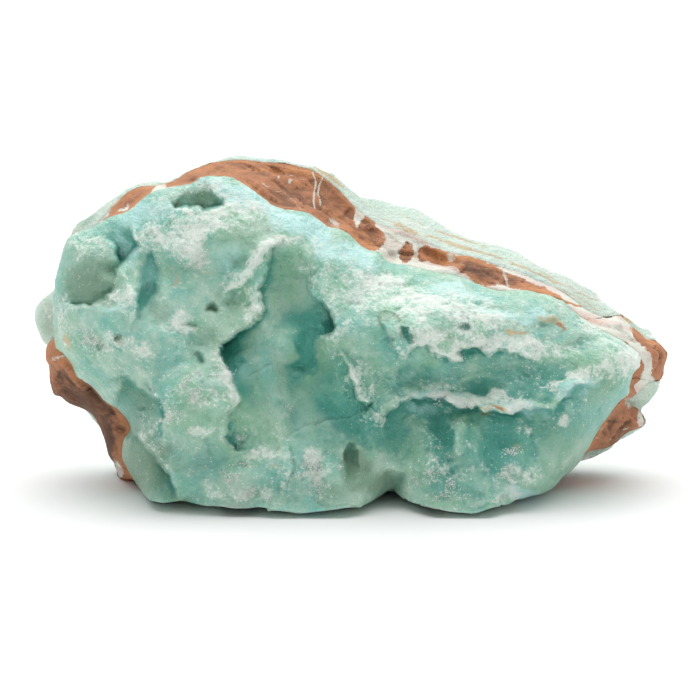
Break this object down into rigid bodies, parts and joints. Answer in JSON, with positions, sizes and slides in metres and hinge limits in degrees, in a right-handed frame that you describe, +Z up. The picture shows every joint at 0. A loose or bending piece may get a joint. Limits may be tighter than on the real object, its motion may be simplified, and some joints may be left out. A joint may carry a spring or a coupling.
{
  "type": "aragonite specimen",
  "caption": "Rough block of blue-green aragonite, hollowed and crusted in front, on brown host rock with more aragonite behind, resting on its broken base.",
  "frame": {"origin": "on the surface the block rests on, under the centre of its bounding box", "axes": "+X to the right along the block, seen from the hollowed blue face; +Y from that face to the back; +Z up"},
  "size_m": [0.122, 0.0567, 0.0604],
  "materials": {
    "blue_aragonite": "translucent blue-green aragonite, sugary on its raised crusts and waxy in its hollows",
    "brown_matrix": "dull brown host rock with rust edges and white veins",
    "back_aragonite": "pale, crusted aragonite"
  },
  "bodies": {
    "root": {"blue_aragonite": "blue_aragonite", "brown_matrix": "brown_matrix", "back_aragonite": "back_aragonite"}
  },
  "joints": []
}
